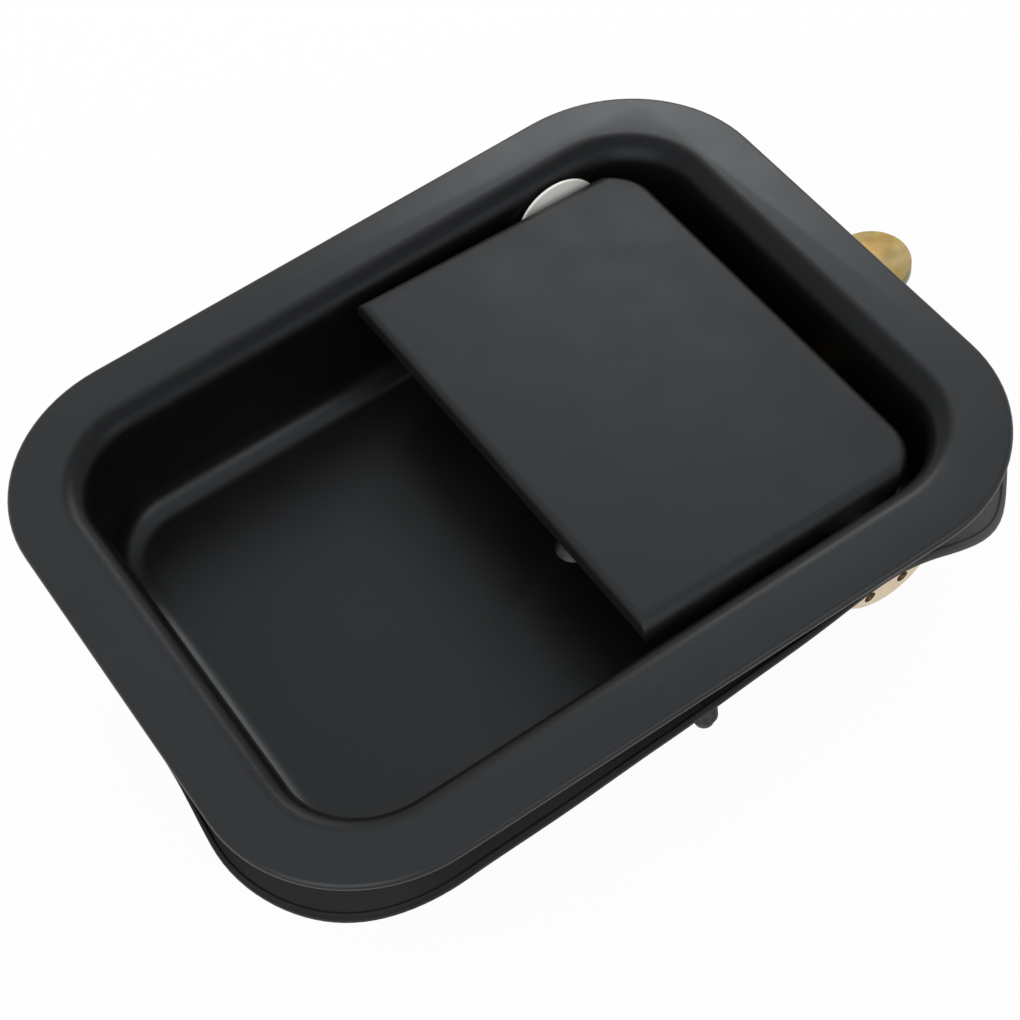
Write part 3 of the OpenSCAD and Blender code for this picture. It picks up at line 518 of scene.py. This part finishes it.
def build_gasket():
    """Loose rubber seal under the flange, with a beaded lip and holes for the studs."""
    stations = gasket_stations()
    section = gasket_section()
    verts = []
    for index, (base, out) in enumerate(stations):
        edge = base + FLANGE_CORNER_R * out
        drop = sum(swell(edge, bump) for bump in GASKET_SAGS)
        turn = 2 * math.pi * index / len(stations)
        wave = GASKET_WAVE * sum(math.sin(k * turn + k) for k in GASKET_WAVES)
        reach = FLANGE_CORNER_R - sum(swell(edge, bump) for bump in GASKET_SLIPS) + wave
        for off, height in section:
            at = base + (reach + off) * out
            hang = (off + GASKET_IN) / (GASKET_IN - GASKET_BACK)
            verts.append((at.x, at.y, height - drop * hang + min(wave, 0.0)))
    sides = len(section)
    faces = []
    for i in range(len(stations)):
        here = i * sides
        there = (i + 1) % len(stations) * sides
        for k in range(sides):
            after = (k + 1) % sides
            faces.append((here + k, there + k, there + after, here + after))
    gasket = add_piece("gasket_ring", verts, faces, "black_rubber", "housing", "door_gasket")
    cut_stud_holes(gasket)


def cut_stud_holes(gasket):
    """Opens the gasket web around both studs."""
    for spot in stud_spots():
        bpy.ops.mesh.primitive_cylinder_add(
            vertices=STUD_HOLE_SIDES, radius=STUD_HOLE_R, depth=STUD_HOLE_LEN,
            location=(spot.x, spot.y, STUD_HOLE_MIDDLE))
        cutter = bpy.context.object
        cut = gasket.modifiers.new("stud_hole", "BOOLEAN")
        cut.object = cutter
        cut.operation = "DIFFERENCE"
        bpy.context.view_layer.update()
        shaped = gasket.evaluated_get(bpy.context.evaluated_depsgraph_get())
        mesh = bpy.data.meshes.new_from_object(shaped)
        gasket.modifiers.clear()
        gasket.data = mesh
        bpy.data.objects.remove(cutter)


def stud_spots():
    """Places of both studs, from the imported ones."""
    low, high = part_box("mounting_studs")
    middle = (low.x + high.x) / 2
    return [Vector((middle, side * (high.y - STUD_BASE_R), 0.0)) for side in (-1, 1)]


def thread_radius(depth, turn):
    """Radius of the thread at a depth along the stud and a share of a turn round it."""
    phase = (depth / STUD_PITCH - turn) % 1.0
    flank = min(abs(2 * phase - 1) * STUD_FLANK_SLOPE, 1.0)
    return STUD_R - STUD_THREAD_DEPTH * (1 - flank)


def stud_rings():
    """Depths and radii down a stud; a ring without a radius lies on the thread."""
    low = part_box("mounting_studs")[0]
    tip = -low.z
    dog_start = tip - STUD_DOG_LEN
    rings = [(0.0, STUD_BASE_R - STUD_BASE_INSET),
             (0.0, STUD_BASE_R),
             (STUD_BASE_H - STUD_BASE_CHAMFER, STUD_BASE_R),
             (STUD_BASE_H, STUD_BASE_R - STUD_BASE_CHAMFER),
             (STUD_BASE_H, STUD_R)]
    step = STUD_PITCH / STUD_STEPS_PER_TURN
    count = int((dog_start - STUD_BASE_H) / step)
    rings += [(STUD_BASE_H + step * (i + 1), None) for i in range(count)]
    rings += [(dog_start, STUD_DOG_R + STUD_DOG_CHAMFER), (dog_start + STUD_DOG_CHAMFER, STUD_DOG_R)]
    rings += [(tip - before, STUD_DOG_R - inset) for before, inset in STUD_TIP]
    return rings


def build_studs():
    """Threaded studs on their weld bases, with a plain dog point."""
    rings = stud_rings()
    verts = []
    faces = []
    for spot in stud_spots():
        first = len(verts)
        for depth, radius in rings:
            for k in range(STUD_SIDES):
                r = radius or thread_radius(depth, k / STUD_SIDES)
                turn = 2 * math.pi * k / STUD_SIDES
                verts.append((spot.x + r * math.cos(turn), spot.y + r * math.sin(turn), -depth))
        for i in range(len(rings) - 1):
            ring = first + i * STUD_SIDES
            for k in range(STUD_SIDES):
                a = ring + k
                b = ring + (k + 1) % STUD_SIDES
                faces.append((b, a, a + STUD_SIDES, b + STUD_SIDES))
        last = first + (len(rings) - 1) * STUD_SIDES
        faces.append([first + k for k in range(STUD_SIDES)])
        faces.append([last + k for k in reversed(range(STUD_SIDES))])
    add_piece("threaded_studs", verts, faces, "dark_steel", "housing", "mounting_studs")


# Stage
def build_camera():
    """Camera at the photograph's view."""
    camera = bpy.data.objects.new("camera", bpy.data.cameras.new("camera"))
    bpy.context.scene.collection.objects.link(camera)
    camera.data.lens = CAMERA_LENS_MM
    camera.data.sensor_width = CAMERA_SENSOR_MM
    camera.data.clip_start = CAMERA_CLIP_START
    aim = (CAMERA_AIM - CAMERA_AT).to_track_quat("-Z", "Y").to_matrix()
    turned = aim @ Matrix.Rotation(CAMERA_LEAN, 3, "Z")
    camera.matrix_world = Matrix.Translation(CAMERA_AT) @ turned.to_4x4()
    bpy.context.scene.camera = camera


def build_lamps():
    """Soft boxes, all turned towards the part."""
    for name, at, size, power in LAMPS:
        lamp = bpy.data.objects.new(name, bpy.data.lights.new(name, "AREA"))
        bpy.context.scene.collection.objects.link(lamp)
        lamp.data.shape = "RECTANGLE"
        lamp.data.size, lamp.data.size_y = size
        lamp.data.energy = power
        lamp.location = at
        lamp.rotation_euler = (-at).to_track_quat("-Z", "Y").to_euler()


def seen_directly(tree):
    """1 for rays from the camera, mirrors or glass, and 0 for the light that falls on things."""
    path = add_node(tree, "ShaderNodeLightPath")
    total = path.outputs["Is Camera Ray"]
    for name in ("Is Glossy Ray", "Is Transmission Ray"):
        larger = add_node(tree, "ShaderNodeMath", operation="MAXIMUM")
        tree.links.new(total, larger.inputs[0])
        tree.links.new(path.outputs[name], larger.inputs[1])
        total = larger.outputs["Value"]
    return total


def build_world():
    """White surroundings that give off a weaker fill light."""
    world = bpy.data.worlds.new("studio")
    bpy.context.scene.world = world
    world.use_nodes = True
    tree = world.node_tree
    background = tree.nodes["Background"]
    level = add_node(tree, "ShaderNodeMapRange", sockets={"To Min": WORLD_FILL, "To Max": 1.0})
    tree.links.new(seen_directly(tree), level.inputs["Value"])
    background.inputs["Color"].default_value = WHITE
    tree.links.new(level.outputs["Result"], background.inputs["Strength"])


def floor_material():
    """Pale floor that reads as white and keeps the shadow."""
    material, tree, shader = new_material("pale_floor")
    shader.inputs["Base Color"].default_value = (*FLOOR_COLOUR, 1.0)
    shader.inputs["Roughness"].default_value = FLOOR_ROUGHNESS
    glow = add_node(tree, "ShaderNodeEmission")
    mix = add_node(tree, "ShaderNodeMixShader")
    share = add_node(tree, "ShaderNodeMapRange", sockets={"To Max": FLOOR_WHITE_SHARE})
    tree.links.new(seen_directly(tree), share.inputs["Value"])
    tree.links.new(share.outputs["Result"], mix.inputs["Fac"])
    tree.links.new(shader.outputs["BSDF"], mix.inputs[1])
    tree.links.new(glow.outputs["Emission"], mix.inputs[2])
    tree.links.new(mix.outputs["Shader"], tree.nodes["Material Output"].inputs["Surface"])
    return material


def build_floor():
    """Square floor at the lowest point of the part."""
    height = cad_box[0].z
    half = FLOOR_SIZE / 2
    verts = [(x * half, y * half, height) for x, y in ((-1, -1), (1, -1), (1, 1), (-1, 1))]
    mesh = bpy.data.meshes.new("floor")
    mesh.from_pydata(verts, [], [(0, 1, 2, 3)])
    mesh.materials.append(floor_material())
    floor = bpy.data.objects.new("floor", mesh)
    bpy.context.scene.collection.objects.link(floor)


bpy.context.scene.view_settings.view_transform = "Standard"
build_camera()
for part_name, edge_width in EDGES.items():
    dress(part_name, edge_width)
for wire_name in WIRES:
    dress_wire(wire_name)
build_gasket()
build_studs()
build_lamps()
build_world()
build_floor()
